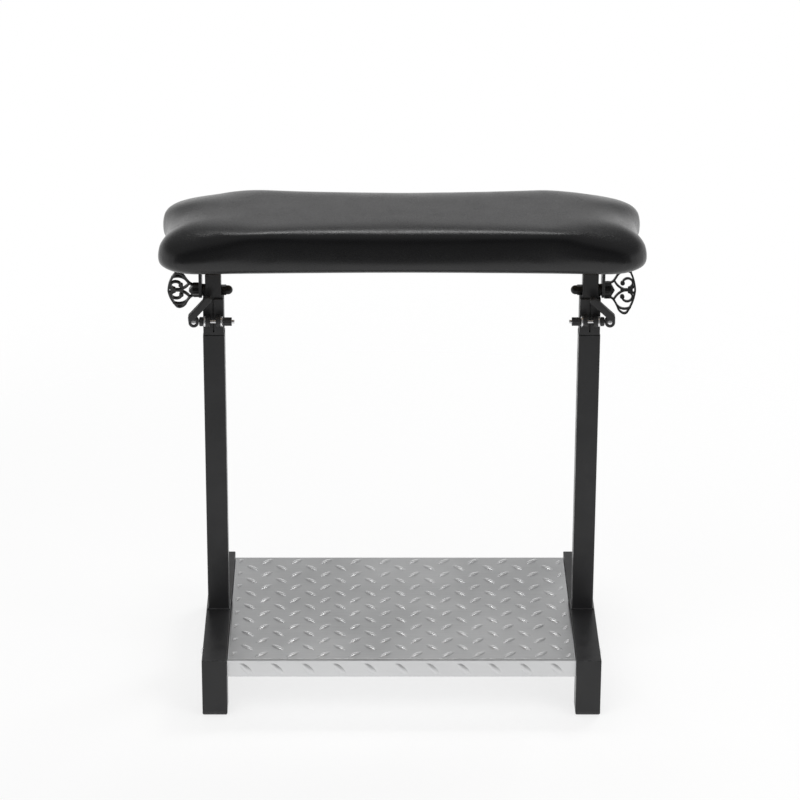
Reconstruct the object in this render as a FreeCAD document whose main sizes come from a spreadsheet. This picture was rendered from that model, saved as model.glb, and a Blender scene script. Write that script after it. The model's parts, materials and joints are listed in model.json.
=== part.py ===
import FreeCAD, Part
import math
import os
import re
import Sketcher

# Arm rest stand: a padded rest on two telescopic posts, with a tread plate between its feet.
# Lengths are millimetres. +X is to the right seen from the front, +Y to the back, +Z up.
# The origin lies on the floor, midway between the feet.

# Driving sizes: name, value

SIZES = [
    # feet and posts
    ("post_spacing", 524.0),
    ("foot_length", 360.0),
    ("foot_height", 86.0),
    ("rail_side", 35.0),
    ("rail_wall", 1.5),
    ("rail_corner", 1.0),
    ("cap_flange", 6.0),
    ("cap_round", 4.5),
    ("cap_plug", 14.0),
    ("cap_play", 0.3),
    ("post_side", 30.0),
    ("post_wall", 1.5),
    ("post_length", 423.0),
    ("post_corner", 1.5),
    ("weld_leg", 1.5),
    ("weld_slope", 1.1),
    # tread plate and its bolts
    ("plate_front_inset", 5.0),
    ("plate_back_inset", 19.0),
    ("plate_play", 0.3),
    ("plate_sheet", 2.0),
    ("plate_lip", 27.0),
    ("plate_bend", 3.0),
    ("lug_pitch", 43.5),
    ("lug_length", 31.0),
    ("lug_width", 9.4),
    ("lug_rise", 1.7),
    ("lug_margin", 4.0),
    ("frame_bolt_spread", 230.0),
    ("frame_bolt_thick", 6.0),
    ("frame_bolt_play", 0.4),
    ("frame_bolt_head", 12.0),
    ("frame_bolt_dome", 4.0),
    ("frame_bolt_end", 2.0),
    ("frame_nut_flats", 10.0),
    ("frame_nut_height", 5.0),
    # clamp collars
    ("collar_height", 54.0),
    ("collar_plug", 30.0),
    ("collar_inset", 0.6),
    ("collar_neck", 1.2),
    ("plug_play", 0.3),
    ("slide_play", 0.3),
    ("slit_width", 1.8),
    ("slit_floor", 5.0),
    ("ear_gap", 8.0),
    ("ear_thick", 6.5),
    ("ear_reach", 16.0),
    ("ear_height", 15.0),
    ("ear_round", 6.5),
    ("clamp_rise", 24.7),
    ("clamp_reach", 8.5),
    # quick-release sets
    ("clamp_bolt_thick", 5.0),
    ("clamp_bolt_play", 0.4),
    ("clamp_bolt_end", 4.0),
    ("clamp_bolt_seat", 2.0),
    ("washer_width", 15.0),
    ("washer_sheet", 2.2),
    ("washer_dish", 1.4),
    ("bushing_width", 13.0),
    ("bushing_length", 5.2),
    ("cam_gap", 0.4),
    ("cam_radius", 7.2),
    ("cam_width", 12.0),
    ("cam_slot_play", 0.5),
    ("pin_thick", 8.0),
    ("turn_play", 0.05),
    ("lever_elbow_out", 3.0),
    ("lever_elbow_up", 7.0),
    ("lever_tip_in", 20.5),
    ("lever_tip_up", 33.0),
    ("lever_width", 9.5),
    ("lever_round", 1.6),
    ("nut_width", 12.0),
    ("nut_length", 11.5),
    ("nut_rib", 0.6),
    # inner tubes
    ("inner_side", 22.0),
    ("inner_wall", 1.5),
    ("inner_corner", 1.0),
    ("inner_length", 415.0),
    ("inner_rise", 24.0),
    ("guide_height", 12.0),
    ("guide_plug", 20.0),
    ("guide_play", 0.3),
    ("top_cap_flange", 2.5),
    ("top_cap_plug", 12.0),
    # tilt pivots
    ("pivot_rise", 9.0),
    ("stud_thick", 8.0),
    ("spacer_width", 17.0),
    ("spacer_length", 4.5),
    ("face_gap", 0.2),
    ("dome_nut_flats", 13.0),
    ("dome_nut_hex", 7.0),
    ("dome_nut_length", 16.0),
    ("dome_nut_wall", 1.8),
    ("stud_end_gap", 1.0),
    # wing knobs
    ("boss_width", 14.0),
    ("boss_length", 9.0),
    ("hub_half_height", 12.1),
    ("hub_length", 7.6),
    ("hub_point", 14.3),
    ("hub_thick", 6.0),
    ("wing_length", 44.0),
    ("wing_half_height", 36.1),
    ("wing_thick", 4.0),
    ("wing_stroke", 2.6),
    ("wing_bar", 4.0),
    ("wing_ball", 6.4),
    # pad and its brackets
    ("bracket_sheet", 4.0),
    ("bracket_width", 30.0),
    ("bracket_leaf", 62.0),
    ("bracket_below", 9.0),
    ("bracket_round", 8.0),
    ("bracket_bend", 3.0),
    ("pad_lift", 56.0),
    ("pad_width", 664.0),
    ("pad_depth", 218.0),
    ("pad_height", 60.0),
    ("pad_lobe", 42.0),
    ("pad_side_dip", 8.0),
    ("pad_front_dip", 11.0),
    ("cover_sheet", 1.2),
    ("cover_gap", 0.3),
    ("cover_hem", 18.0),
    ("board_sheet", 12.0),
    ("board_inset", 22.0),
    ("screw_thick", 6.0),
    ("screw_play", 0.4),
    ("screw_head", 12.0),
    ("screw_head_height", 4.0),
    ("screw_first", 8.0),
    ("screw_pitch", 26.0),
    ("tee_nut_flange", 19.0),
    ("tee_nut_sheet", 1.2),
    ("tee_nut_barrel", 8.0),
    ("tee_nut_length", 9.0),
]

# Places worked out from the driving sizes

PLACES = [
    ("post_x", "=post_spacing / 2"),
    ("rail_low", "=foot_height - rail_side"),
    ("post_top", "=foot_height + post_length"),
    ("collar_top", "=post_top + collar_height"),
    ("pivot_z", "=collar_top + pivot_rise"),
    ("inner_top", "=pivot_z + inner_rise"),
    ("inner_low", "=inner_top - inner_length"),
    ("post_bore", "=post_side - 2 * post_wall"),
    ("inner_bore", "=inner_side - 2 * inner_wall"),
    ("collar_bore", "=inner_side + 2 * slide_play"),
    ("clamp_y", "=-post_side / 2 - clamp_reach"),
    ("clamp_z", "=post_top + clamp_rise"),
    ("ear_out", "=ear_gap / 2 + ear_thick"),
    ("washer_out", "=ear_out + washer_sheet + washer_dish"),
    ("bushing_out", "=washer_out + bushing_length"),
    ("cam_x", "=bushing_out + cam_gap + cam_radius"),
    ("nut_start", "=washer_out + face_gap"),
    ("nut_end", "=nut_start + nut_length"),
    ("clamp_hole", "=clamp_bolt_thick + clamp_bolt_play"),
    ("plate_half_width", "=post_x - rail_side / 2 - plate_play"),
    ("plate_front", "=-foot_length / 2 + plate_front_inset"),
    ("plate_back", "=foot_length / 2 - plate_back_inset"),
    ("frame_bolt_y", "=frame_bolt_spread / 2"),
    ("frame_bolt_z", "=foot_height - rail_side / 2"),
    ("frame_hole", "=frame_bolt_thick + frame_bolt_play"),
    ("frame_thread", "=frame_bolt_thick + 2 * turn_play"),
    ("spacer_end", "=inner_side / 2 + spacer_length"),
    ("ear_in", "=spacer_end + face_gap"),
    ("ear_end", "=ear_in + bracket_sheet"),
    ("knob_start", "=ear_end + face_gap"),
    ("stud_hole", "=stud_thick + 2 * turn_play"),
    ("stud_inner_end", "=inner_side / 2 + dome_nut_length - dome_nut_wall - stud_end_gap"),
    ("pad_low", "=pivot_z + pad_lift"),
    ("board_low", "=pad_low + cover_sheet"),
    ("board_top", "=board_low + board_sheet"),
    ("leaf_low", "=board_low - bracket_sheet"),
    ("leaf_in", "=ear_end - bracket_leaf"),
    ("screw_hole", "=screw_thick + screw_play"),
    ("screw_thread", "=screw_thick + 2 * turn_play"),
    ("screw_near", "=leaf_in + screw_first"),
    ("screw_far", "=leaf_in + screw_first + screw_pitch"),
]

# Angles, in degrees

LUG_ANGLE = 45.0
LEFT_KNOB_LEAN = 27.0
RIGHT_LEVER_LEAN = 5.0

# Shares

# Pad sections from the bottom up: share of the pad height, then the insets of the long sides
# and of the ends as shares of the lobe radius
PAD_SECTION_SHARES = [
    (0.0, 0.333, 0.476),
    (0.05, 0.167, 0.238),
    (0.14, 0.071, 0.10),
    (0.26, 0.019, 0.026),
    (0.44, 0.0, 0.0),
    (0.63, 0.03, 0.10),
    (0.79, 0.13, 0.45),
    (0.90, 0.286, 1.05),
    (0.97, 0.476, 1.81),
    (1.0, 0.72, 2.74),
]
# The lobe radius of a section grows by this share of its side inset, and that of the board and
# the hem shrinks by the other share of theirs
LOBE_GROWTH_SHARE = 0.24
LOBE_SHRINK_SHARE = 0.2
LOFT_DEGREE = 3
# Strokes of one half of the wing: along the wing's length, and up its half height
WING_ARC_SHARES = [
    ((0.16, 0.300), (0.23, 0.322), (0.30, 0.404)),
    ((0.30, 0.404), (0.377, 0.560), (0.434, 0.720)),
    ((0.434, 0.720), (0.509, 0.870), (0.614, 0.958)),
    ((0.614, 0.958), (0.691, 0.953), (0.745, 0.881)),
    ((0.745, 0.881), (0.877, 0.543), (0.970, 0.0)),
    ((0.309, 0.377), (0.436, 0.161), (0.639, 0.017)),
    ((0.409, 0.623), (0.577, 0.765), (0.827, 0.720)),
    ((0.768, 0.090), (0.820, 0.436), (0.568, 0.277)),
]
WING_FORK_SHARES = ((0.830, 0.008), (0.945, 0.166))
WING_BAR_SHARES = (0.545, 0.850)
WING_BALL_SHARES = (0.568, 0.277)

START = 10.0
OVERRUN = 5.0
TURN = 360.0
HALF_TURN = 180.0
QUARTER_TURN = 90.0
VECTOR = FreeCAD.Vector
AXIS_X = VECTOR(1, 0, 0)
AXIS_Y = VECTOR(0, 1, 0)
AXIS_Z = VECTOR(0, 0, 1)
SIDES = (("left", -1), ("right", 1))

doc = FreeCAD.newDocument("arm_rest_stand")
sheet = doc.addObject("Spreadsheet::Sheet", "Sizes")
nodes = []


def fill_sheet():
    rows = [(name, str(value)) for name, value in SIZES] + PLACES
    for row, (name, content) in enumerate(rows, start=1):
        sheet.set("A%d" % row, name)
        sheet.set("B%d" % row, content)
        sheet.setAlias("B%d" % row, name)
    doc.recompute()


def size(name):
    return float(getattr(sheet, name))


def linked(expression):
    return re.sub(r"[a-z_]{3,}", lambda match: "Sizes." + match.group(0), expression)


def bind(item, prop, expression):
    item.setExpression(prop, linked(expression))


# Drawing helpers

def new_body(label):
    item = doc.addObject("PartDesign::Body", label)
    item.Label = label
    return item


def new_sketch(body, role, lift="0"):
    sketch = body.newObject("Sketcher::SketchObject", "Sketch")
    plane = [entry for entry in body.Origin.OriginFeatures if entry.Role == role][0]
    sketch.AttachmentSupport = [(plane, "")]
    sketch.MapMode = "FlatFace"
    if lift != "0":
        bind(sketch, "AttachmentOffset.Base.z", lift)
    return sketch


def hold(sketch, kind, line, point, axis, expression):
    # Ties one coordinate of a sketch point to an expression
    if expression == "0":
        sketch.addConstraint(Sketcher.Constraint("PointOnObject", line, point, axis))
        return
    index = sketch.addConstraint(Sketcher.Constraint(kind, -1, 1, line, point, START))
    name = "place%d" % index
    sketch.renameConstraint(index, name)
    bind(sketch, "Constraints." + name, expression)


def polygon(sketch, corners):
    first = sketch.GeometryCount
    count = len(corners)
    ring = [VECTOR(START * math.cos(math.tau * i / count), START * math.sin(math.tau * i / count), 0)
            for i in range(count)]
    for i in range(count):
        sketch.addGeometry(Part.LineSegment(ring[i], ring[(i + 1) % count]), False)
    for i in range(count):
        sketch.addConstraint(Sketcher.Constraint("Coincident", first + i, 2, first + (i + 1) % count, 1))
    for i, (across, up) in enumerate(corners):
        hold(sketch, "DistanceX", first + i, 1, -2, across)
        hold(sketch, "DistanceY", first + i, 1, -1, up)


def rectangle(sketch, width, height, across="0", up="0"):
    low_x = "%s - (%s) / 2" % (across, width)
    high_x = "%s + (%s) / 2" % (across, width)
    low_y = "%s - (%s) / 2" % (up, height)
    high_y = "%s + (%s) / 2" % (up, height)
    polygon(sketch, [(low_x, low_y), (high_x, low_y), (high_x, high_y), (low_x, high_y)])


def circle(sketch, width, across="0", up="0"):
    index = sketch.addGeometry(Part.Circle(VECTOR(START, START, 0), AXIS_Z, START), False)
    hold(sketch, "DistanceX", index, 3, -2, across)
    hold(sketch, "DistanceY", index, 3, -1, up)
    place = sketch.addConstraint(Sketcher.Constraint("Diameter", index, START))
    name = "width%d" % place
    sketch.renameConstraint(place, name)
    bind(sketch, "Constraints." + name, width)


def pad(body, sketch, length, side="One side", reverse=False):
    item = body.newObject("PartDesign::Pad", "Pad")
    item.Profile = sketch
    item.SideType = side
    item.Reversed = reverse
    bind(item, "Length", length)
    doc.recompute()
    return item


def pocket(body, sketch, length, side="One side", reverse=False):
    item = body.newObject("PartDesign::Pocket", "Pocket")
    item.Profile = sketch
    item.SideType = side
    item.Reversed = reverse
    bind(item, "Length", length)
    doc.recompute()
    return item


def revolve(body, sketch):
    item = body.newObject("PartDesign::Revolution", "Revolution")
    item.Profile = sketch
    item.ReferenceAxis = (sketch, ["H_Axis"])
    item.Angle = TURN
    doc.recompute()
    return item


def edges_where(shape, wanted):
    return ["Edge%d" % i for i, edge in enumerate(shape.Edges, start=1) if wanted(edge)]


def runs_along(edge, axis):
    return (isinstance(edge.Curve, Part.Line)
            and abs(edge.tangentAt(edge.FirstParameter).dot(axis)) > 1 - Part.Precision.confusion())


def near(value, target):
    return abs(value - target) < size("turn_play") / 2


def fillet(body, radius, wanted):
    base = body.Tip
    item = body.newObject("PartDesign::Fillet", "Fillet")
    item.Base = (base, edges_where(base.Shape, wanted))
    bind(item, "Radius", radius)
    doc.recompute()
    return item


def chamfer(body, reach, wanted):
    base = body.Tip
    item = body.newObject("PartDesign::Chamfer", "Chamfer")
    item.Base = (base, edges_where(base.Shape, wanted))
    bind(item, "Size", reach)
    doc.recompute()
    return item


def place(item, x="0", y="0", z="0", turned=False):
    # A turned piece faces the other way about the upright axis
    if turned:
        item.Placement = FreeCAD.Placement(VECTOR(0, 0, 0), FreeCAD.Rotation(AXIS_Z, HALF_TURN))
    for key, expression in (("x", x), ("y", y), ("z", z)):
        if expression != "0":
            bind(item, "Placement.Base." + key, expression)


def feature(label, shape):
    item = doc.addObject("Part::Feature", label)
    item.Label = label
    item.Shape = shape
    return item


def keep(item):
    nodes.append(item)
    return item


def settle(label, shape, sign, y, z):
    # A shape drawn about a post's own axis, on the left turned to face outward
    turn = 0.0 if sign > 0 else HALF_TURN
    spot = FreeCAD.Placement(VECTOR(sign * size("post_x"), y, z), FreeCAD.Rotation(AXIS_Z, turn))
    item = feature(label, shape)
    item.Placement = spot.multiply(shape.Placement)
    return keep(item)


def side_x(sign):
    return "post_x" if sign > 0 else "-post_x"


def set_aside(item):
    # A master shape that is only copied
    doc.recompute()
    shape = item.Shape.copy()
    shape.Placement = FreeCAD.Placement()
    return shape


def turned_copy(shape, spot, about=AXIS_Z, angle=0.0):
    copy = shape.copy()
    copy.Placement = FreeCAD.Placement(spot, FreeCAD.Rotation(about, angle)).multiply(copy.Placement)
    return copy


def tube(label, side, bore, length, corner):
    # An upright square tube that stands on its own origin
    body = new_body(label)
    outer = new_sketch(body, "XY_Plane")
    rectangle(outer, side, side)
    pad(body, outer, length)
    fillet(body, corner, lambda edge: runs_along(edge, AXIS_Z))
    inner = new_sketch(body, "XY_Plane")
    rectangle(inner, bore, bore)
    pocket(body, inner, length, reverse=True)
    return body


def turned_piece(label, corners):
    # A piece turned about its X axis
    body = new_body(label)
    profile = new_sketch(body, "XZ_Plane")
    polygon(profile, corners)
    revolve(body, profile)
    return body


# Feet

def foot_rail(word, sign):
    body = new_body(word + "_foot_rail")
    half = "foot_length / 2"
    side_view = new_sketch(body, "YZ_Plane")
    polygon(side_view, [
        ("-" + half, "foot_height"),
        ("-%s + rail_side" % half, "rail_low"),
        (half + " - rail_side", "rail_low"),
        (half, "foot_height"),
    ])
    pad(body, side_view, "rail_side", side="Symmetric")
    fillet(body, "rail_corner", lambda edge: runs_along(edge, AXIS_Y))
    bore = new_sketch(body, "XZ_Plane")
    rectangle(bore, "rail_side - 2 * rail_wall", "rail_side - 2 * rail_wall", "0", "frame_bolt_z")
    pocket(body, bore, "foot_length", side="Symmetric")
    holes = new_sketch(body, "YZ_Plane")
    circle(holes, "frame_hole", "frame_bolt_y", "frame_bolt_z")
    circle(holes, "frame_hole", "-frame_bolt_y", "frame_bolt_z")
    pocket(body, holes, "2 * rail_side", side="Symmetric")
    place(body, side_x(sign))
    return keep(body)


def foot_leg(word, sign, end_word, back):
    body = new_body("%s_%s_leg" % (word, end_word))
    half = "foot_length / 2"
    side_view = new_sketch(body, "YZ_Plane")
    polygon(side_view, [
        ("-" + half, "cap_flange"),
        ("-%s + rail_side" % half, "cap_flange"),
        ("-%s + rail_side" % half, "rail_low"),
        ("-" + half, "foot_height"),
    ])
    pad(body, side_view, "rail_side", side="Symmetric")
    fillet(body, "rail_corner", lambda edge: runs_along(edge, AXIS_Z))
    bore = new_sketch(body, "XY_Plane")
    rectangle(bore, "rail_side - 2 * rail_wall", "rail_side - 2 * rail_wall",
              "0", "-%s + rail_side / 2" % half)
    pocket(body, bore, "foot_height", reverse=True)
    place(body, side_x(sign), turned=back)
    return keep(body)


def foot_cap(word, sign, end_word, back):
    body = new_body("%s_%s_foot_cap" % (word, end_word))
    middle = "-foot_length / 2 + rail_side / 2"
    flange = new_sketch(body, "XY_Plane")
    rectangle(flange, "rail_side", "rail_side", "0", middle)
    pad(body, flange, "cap_flange")
    fillet(body, "cap_round", lambda edge: near(edge.BoundBox.ZMax, 0))
    plug = new_sketch(body, "XY_Plane", "cap_flange")
    plug_side = "rail_side - 2 * rail_wall - 2 * cap_play"
    rectangle(plug, plug_side, plug_side, "0", middle)
    pad(body, plug, "cap_plug")
    place(body, side_x(sign), turned=back)
    return keep(body)


# Posts

def outer_tube(word, sign):
    body = tube(word + "_outer_tube", "post_side", "post_bore", "post_length", "post_corner")
    place(body, side_x(sign), "0", "foot_height")
    return keep(body)


def post_weld(word, sign):
    body = new_body(word + "_post_weld")
    outline = new_sketch(body, "XY_Plane", "foot_height")
    rectangle(outline, "post_side + 2 * weld_leg", "post_side + 2 * weld_leg")
    pad(body, outline, "weld_leg")
    top = size("foot_height") + size("weld_leg")
    chamfer(body, "weld_slope", lambda edge: near(edge.BoundBox.ZMin, top))
    inside = new_sketch(body, "XY_Plane", "foot_height")
    rectangle(inside, "post_side", "post_side")
    pocket(body, inside, "weld_leg", reverse=True)
    place(body, side_x(sign))
    return keep(body)


# Tread plate

def lug_shape(flat_length):
    # A spindle sunk into the sheet, so that only its crown stands out
    half = flat_length / 2
    rise = size("lug_rise")
    half_width = size("lug_width") / 2
    spindle = (half_width ** 2 + rise ** 2) / (2 * rise)
    sink = spindle - rise
    reach = half * spindle / half_width
    arc = Part.Arc(VECTOR(-reach, 0, -sink), VECTOR(0, 0, rise), VECTOR(reach, 0, -sink)).toShape()
    chord = Part.makeLine(VECTOR(reach, 0, -sink), VECTOR(-reach, 0, -sink))
    solid = Part.Face(Part.Wire([arc, chord])).revolve(VECTOR(0, 0, -sink), AXIS_X, TURN)
    block = Part.makeBox(2 * reach, 2 * spindle, rise + size("plate_sheet") / 2,
                         VECTOR(-reach, -spindle, -size("plate_sheet") / 2))
    return solid.common(block)


def lug_places(width, depth):
    # Two square grids, half a pitch apart, whose lugs lean opposite ways
    pitch = size("lug_pitch")
    places = []
    columns = int(width / pitch) + 1
    rows = int(depth / pitch) + 1
    for column in range(-columns, columns + 1):
        for row in range(-rows, rows + 1):
            if (column + row) % 2:
                continue
            angle = LUG_ANGLE if column % 2 else -LUG_ANGLE
            places.append((column * pitch / 2, row * pitch / 2, angle))
    return places


def raised_lugs(width, depth):
    lug = lug_shape(size("lug_length"))
    margin = size("lug_margin")
    reach = size("lug_length")
    window = Part.makeBox(width - 2 * margin, depth - 2 * margin, 2 * reach,
                          VECTOR(margin - width / 2, margin - depth / 2, -reach))
    kept = []
    for x, y, angle in lug_places(width, depth):
        if abs(x) > width / 2 + reach or abs(y) > depth / 2 + reach:
            continue
        copy = turned_copy(lug, VECTOR(x, y, 0), AXIS_Z, angle)
        inside = abs(x) < width / 2 - reach and abs(y) < depth / 2 - reach
        if not inside:
            copy = copy.common(window)
        kept += [solid for solid in copy.Solids if solid.Volume > lug.Volume / reach]
    return kept


def tread_plate():
    pan = new_body("tread_pan")
    width = "2 * plate_half_width"
    depth = "(plate_back - plate_front)"
    middle = "(plate_back + plate_front) / 2"
    outline = new_sketch(pan, "XY_Plane", "foot_height")
    rectangle(outline, width, depth, "0", middle)
    pad(pan, outline, "plate_lip", reverse=True)
    top = size("foot_height")
    fillet(pan, "plate_bend", lambda edge: near(edge.BoundBox.ZMin, top))
    hollow = new_sketch(pan, "XY_Plane", "foot_height - plate_sheet")
    rectangle(hollow, width + " - 2 * plate_sheet", depth + " - 2 * plate_sheet", "0", middle)
    pocket(pan, hollow, "plate_lip")
    holes = new_sketch(pan, "YZ_Plane")
    circle(holes, "frame_hole", "frame_bolt_y", "frame_bolt_z")
    circle(holes, "frame_hole", "-frame_bolt_y", "frame_bolt_z")
    pocket(pan, holes, "3 * plate_half_width", side="Symmetric")
    shape = set_aside(pan)
    flat_width = 2 * size("plate_half_width") - 2 * size("plate_bend")
    flat_depth = size("plate_back") - size("plate_front") - 2 * size("plate_bend")
    centre_y = (size("plate_back") + size("plate_front")) / 2
    lugs = [turned_copy(lug, VECTOR(0, centre_y, top)) for lug in raised_lugs(flat_width, flat_depth)]
    lip = size("plate_lip") - size("plate_bend")
    lip_z = top - size("plate_lip") + lip / 2
    for face_y, turn in ((size("plate_front"), QUARTER_TURN), (size("plate_back"), -QUARTER_TURN)):
        lugs += [turned_copy(lug, VECTOR(0, face_y, lip_z), AXIS_X, turn)
                 for lug in raised_lugs(flat_width, lip)]
    return keep(feature("tread_plate", shape.fuse(lugs)))


def frame_bolt_master():
    # Runs inward along -X from the outer face of a foot at its own origin
    reach = "(rail_side + plate_play + plate_sheet + frame_nut_height + frame_bolt_end)"
    body = new_body("frame_bolt")
    profile = new_sketch(body, "XZ_Plane")
    polygon(profile, [
        ("-" + reach, "0"),
        ("-" + reach, "frame_bolt_thick / 2"),
        ("0", "frame_bolt_thick / 2"),
        ("0", "frame_bolt_head / 2"),
        ("frame_bolt_dome / 3", "frame_bolt_head / 2"),
        ("frame_bolt_dome", "frame_bolt_head / 4"),
        ("frame_bolt_dome", "0"),
    ])
    revolve(body, profile)
    return body


def hexagon(flats, length, bore):
    # A hexagonal prism with a bore, along +X from its own origin
    points = []
    corner = flats / math.sqrt(3)
    for i in range(6):
        turn = math.radians(i * TURN / 6 + TURN / 12)
        points.append(VECTOR(0, corner * math.sin(turn), corner * math.cos(turn)))
    outline = Part.Face(Part.makePolygon(points + points[:1]))
    solid = outline.extrude(VECTOR(length, 0, 0))
    return solid.cut(Part.makeCylinder(bore / 2, length, VECTOR(0, 0, 0), AXIS_X))


def frame_fasteners():
    bolt = set_aside(frame_bolt_master())
    nut = hexagon(size("frame_nut_flats"), size("frame_nut_height"), size("frame_thread"))
    face = size("post_x") + size("rail_side") / 2
    nut_face = size("plate_half_width") - size("plate_sheet")
    bolts = []
    nuts = []
    for turn, sign in ((HALF_TURN, -1), (0.0, 1)):
        for row in (-size("frame_bolt_y"), size("frame_bolt_y")):
            spot = VECTOR(sign * face, row, size("frame_bolt_z"))
            bolts.append(turned_copy(bolt, spot, AXIS_Z, turn))
            spot = VECTOR(sign * nut_face, row, size("frame_bolt_z"))
            nuts.append(turned_copy(nut, spot, AXIS_Z, turn + HALF_TURN))
    keep(feature("frame_bolts", Part.makeCompound(bolts)))
    keep(feature("frame_nuts", Part.makeCompound(nuts)))


# Clamp collars

def clamp_collar(word, sign):
    body = new_body(word + "_clamp_collar")
    neck = new_sketch(body, "XY_Plane", "post_top")
    neck_side = "post_side - 4 * collar_inset"
    rectangle(neck, neck_side, neck_side)
    pad(body, neck, "collar_neck")
    sleeve = new_sketch(body, "XY_Plane", "post_top + collar_neck")
    sleeve_side = "post_side - 2 * collar_inset"
    rectangle(sleeve, sleeve_side, sleeve_side)
    pad(body, sleeve, "collar_height - collar_neck")
    fillet(body, "post_corner", lambda edge: runs_along(edge, AXIS_Z))
    plug = new_sketch(body, "XY_Plane", "post_top")
    rectangle(plug, "post_bore - 2 * plug_play", "post_bore - 2 * plug_play")
    pad(body, plug, "collar_plug", reverse=True)
    ears = new_sketch(body, "XY_Plane", "clamp_z - ear_height / 2")
    ear_middle = "-post_side / 2 - ear_reach / 2 + post_wall / 2"
    rectangle(ears, "2 * ear_out", "ear_reach + post_wall", "0", ear_middle)
    pad(body, ears, "ear_height")
    front = -size("post_side") / 2 - size("ear_reach")
    fillet(body, "ear_round", lambda edge: runs_along(edge, AXIS_X) and near(edge.BoundBox.YMin, front))
    gap = new_sketch(body, "XY_Plane", "clamp_z - ear_height / 2")
    gap_middle = "-post_side / 2 - ear_reach / 2 + collar_inset / 2"
    rectangle(gap, "ear_gap", "ear_reach + collar_inset", "0", gap_middle)
    pocket(body, gap, "ear_height", reverse=True)
    bore = new_sketch(body, "XY_Plane", "post_top - collar_plug")
    rectangle(bore, "collar_bore", "collar_bore")
    pocket(body, bore, "collar_plug + collar_height", reverse=True)
    slit = new_sketch(body, "XY_Plane", "post_top + slit_floor")
    slit_depth = "(post_side - collar_bore / 2)"
    rectangle(slit, "slit_width", slit_depth, "0", "-post_side + %s / 2" % slit_depth)
    pocket(body, slit, "collar_height", reverse=True)
    hole = new_sketch(body, "YZ_Plane")
    circle(hole, "clamp_hole", "clamp_y", "clamp_z")
    pocket(body, hole, "3 * ear_out", side="Symmetric")
    place(body, side_x(sign))
    return keep(body)


# Quick-release sets: the local X axis runs outward along the clamp bolt

def place_on_clamp(item, sign):
    place(item, side_x(sign), "clamp_y", "clamp_z", turned=sign < 0)
    return keep(item)


def settle_on_clamp(label, shape, sign):
    return settle(label, shape, sign, size("clamp_y"), size("clamp_z"))


def clamp_bolt(word, sign):
    end = "(nut_end + clamp_bolt_end)"
    bevel = "clamp_bolt_thick / 10"
    body = turned_piece(word + "_clamp_bolt", [
        ("-" + end, "0"),
        ("-" + end, "clamp_bolt_thick / 2 - " + bevel),
        ("-%s + %s" % (end, bevel), "clamp_bolt_thick / 2"),
        ("cam_x + clamp_bolt_seat", "clamp_bolt_thick / 2"),
        ("cam_x + clamp_bolt_seat", "0"),
    ])
    return place_on_clamp(body, sign)


def clamp_washers():
    # Dished washers on both sides of both pairs of ears
    master = turned_piece("clamp_washer", [
        ("ear_out", "clamp_hole / 2 + washer_dish"),
        ("ear_out + washer_dish", "clamp_hole / 2"),
        ("ear_out + washer_dish + washer_sheet", "clamp_hole / 2"),
        ("ear_out + washer_sheet", "washer_width / 2"),
        ("ear_out", "washer_width / 2"),
    ])
    shape = set_aside(master)
    copies = []
    for word, sign in SIDES:
        for turn in (0.0, HALF_TURN):
            spot = VECTOR(sign * size("post_x"), size("clamp_y"), size("clamp_z"))
            copies.append(turned_copy(shape, spot, AXIS_Z, turn))
    return keep(feature("clamp_washers", Part.makeCompound(copies)))


def cam_bushing(word, sign):
    edge = "washer_sheet / 2"
    body = turned_piece(word + "_cam_bushing", [
        ("washer_out", "clamp_hole / 2"),
        ("washer_out", "bushing_width / 2"),
        ("bushing_out - " + edge, "bushing_width / 2"),
        ("bushing_out", "bushing_width / 2 - " + edge),
        ("bushing_out", "clamp_hole / 2"),
    ])
    return place_on_clamp(body, sign)


def cam_pin(word, sign):
    pin = doc.addObject("Part::Cylinder", "Pin")
    bind(pin, "Radius", "pin_thick / 2")
    bind(pin, "Height", "cam_width")
    pin.Placement = FreeCAD.Placement(VECTOR(0, 0, 0), FreeCAD.Rotation(AXIS_X, QUARTER_TURN))
    bind(pin, "Placement.Base.x", "cam_x")
    bind(pin, "Placement.Base.y", "cam_width / 2")
    thread = doc.addObject("Part::Cylinder", "Thread")
    bind(thread, "Radius", "clamp_bolt_thick / 2")
    bind(thread, "Height", "cam_x + clamp_bolt_seat")
    thread.Placement = FreeCAD.Placement(VECTOR(0, 0, 0), FreeCAD.Rotation(AXIS_Y, QUARTER_TURN))
    dome = doc.addObject("Part::Sphere", "Dome")
    bind(dome, "Radius", "cam_width / 2")
    bind(dome, "Placement.Base.x", "cam_x")
    domed = doc.addObject("Part::Common", "DomedPin")
    domed.Base = pin
    domed.Tool = dome
    item = doc.addObject("Part::Cut", word + "_cam_pin")
    item.Label = word + "_cam_pin"
    item.Base = domed
    item.Tool = thread
    return place_on_clamp(item, sign)


def disc(x, z, radius, thick):
    return Part.makeCylinder(radius, thick, VECTOR(x, thick / 2, z), -AXIS_Y)


def link_between(first, second, thick):
    # The straight web between two discs, given as (x, z, radius)
    x1, z1, r1 = first
    x2, z2, r2 = second
    length = math.hypot(x2 - x1, z2 - z1)
    heading = math.atan2(z2 - z1, x2 - x1)
    spread = math.acos((r1 - r2) / length)
    points = []
    for x, z, radius, turn in ((x1, z1, r1, spread), (x2, z2, r2, spread),
                               (x2, z2, r2, -spread), (x1, z1, r1, -spread)):
        points.append(VECTOR(x + radius * math.cos(heading + turn), thick / 2,
                             z + radius * math.sin(heading + turn)))
    return Part.Face(Part.makePolygon(points + points[:1])).extrude(VECTOR(0, -thick, 0))


def rounded_faces(shape, thick, radius):
    rims = [edge for edge in shape.Edges
            if near(abs(edge.BoundBox.YMin), thick / 2) and near(edge.BoundBox.YLength, 0)]
    return shape.makeFillet(radius, rims)


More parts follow.
